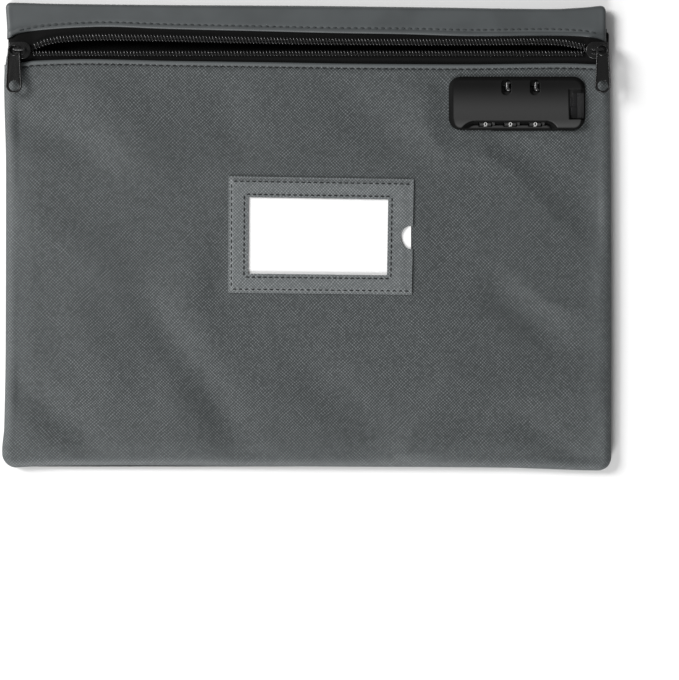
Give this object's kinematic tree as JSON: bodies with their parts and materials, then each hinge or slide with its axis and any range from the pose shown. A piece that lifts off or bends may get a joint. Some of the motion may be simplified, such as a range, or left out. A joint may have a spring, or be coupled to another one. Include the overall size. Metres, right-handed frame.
{
  "type": "cash deposit bag",
  "caption": "Flat lockable cash deposit bag in grained leather, with a double zip, a combination lock that holds the zip pulls, and a framed card window.",
  "frame": {"origin": "middle of the bag's outline, on the underside of its back panel", "axes": "+Z out of the front panel, +Y towards the zip edge, +X towards the lock side"},
  "size_m": [0.3556, 0.272, 0.0138],
  "materials": {
    "leather": "slate grey grained synthetic leather",
    "band_leather": "slate grey smooth synthetic leather",
    "frame_leather": "lighter grey grained synthetic leather",
    "tape": "woven black zip tape",
    "coil": "black nylon coil",
    "black_metal": "black painted die-cast metal",
    "hook_metal": "glossy black plated metal",
    "lock_plastic": "satin black moulded plastic",
    "dial_plastic": "black dials with light numbers",
    "clear_film": "clear flexible film",
    "card": "white card",
    "steel": "plain steel"
  },
  "bodies": {
    "bag": {"back_panel": "leather", "front_panel": "leather", "header_band": "band_leather", "edge_binding": "tape", "zipper_tape_lower": "tape", "zipper_chain_lower": "coil", "card_frame": "frame_leather", "card_window": "clear_film", "lock_housing": "lock_plastic", "lock_back_plate": "lock_plastic", "lock_screw_1": "steel", "lock_screw_2": "steel", "lock_screw_3": "steel", "lock_screw_4": "steel", "dial_shaft": "steel", "detent_spring": "steel", "return_spring": "steel"},
    "zip_lip": {"zipper_tape_upper": "tape", "zipper_chain_upper": "coil"},
    "left_slider": {"slider_left": "black_metal"},
    "left_pull": {"pull_left": "black_metal"},
    "right_slider": {"slider_right": "black_metal"},
    "right_pull": {"pull_right": "black_metal"},
    "card": {"insert_card": "card"},
    "dial_one": {"dial_1": "dial_plastic", "dial_sleeve_1": "steel"},
    "dial_two": {"dial_2": "dial_plastic", "dial_sleeve_2": "steel"},
    "dial_three": {"dial_3": "dial_plastic", "dial_sleeve_3": "steel"},
    "latch": {"latch_plate": "steel", "latch_hook_left": "hook_metal", "latch_hook_right": "hook_metal", "release_button": "lock_plastic"}
  },
  "joints": [
    {"name": "left_slider_slide", "type": "slide", "parent": "bag", "child": "left_slider", "axis": [1, 0, 0], "range_m": [0, 0.2854]},
    {"name": "right_slider_slide", "type": "slide", "parent": "bag", "child": "right_slider", "axis": [-1, 0, 0], "range_m": [0, 0.0373]},
    {"name": "zip_lip_close", "type": "slide", "parent": "bag", "child": "zip_lip", "axis": [0, -1, 0], "range_m": [0, 0.006], "deforming": ["zipper_tape_upper", "zipper_chain_upper"]},
    {"name": "left_pull_swivel", "type": "hinge", "parent": "left_slider", "child": "left_pull", "pos_m": [-0.172, 0.1091, 0.0117], "axis": [0, 0, 1], "range_deg": [-90, 30]},
    {"name": "right_pull_swivel", "type": "hinge", "parent": "right_slider", "child": "right_pull", "pos_m": [0.172, 0.1091, 0.0117], "axis": [0, 0, 1], "range_deg": [-30, 90]},
    {"name": "card_slide", "type": "slide", "parent": "bag", "child": "card", "axis": [1, 0, 0], "range_m": [0, 0.1]},
    {"name": "dial_one_turn", "type": "hinge", "parent": "bag", "child": "dial_one", "pos_m": [0.1035, 0.06765, 0.0083], "axis": [1, 0, 0], "continuous": true},
    {"name": "dial_two_turn", "type": "hinge", "parent": "bag", "child": "dial_two", "pos_m": [0.11805, 0.06765, 0.0083], "axis": [1, 0, 0], "continuous": true},
    {"name": "dial_three_turn", "type": "hinge", "parent": "bag", "child": "dial_three", "pos_m": [0.1326, 0.06765, 0.0083], "axis": [1, 0, 0], "continuous": true},
    {"name": "release_slide", "type": "slide", "parent": "bag", "child": "latch", "axis": [-1, 0, 0], "range_m": [0, 0.0022], "stiffness_N_per_m": 300, "deforming": ["return_spring"]}
  ],
  "couplings": [
    {"joint": "zip_lip_close", "follows": "left_slider_slide", "ratio": 0.02102}
  ]
}
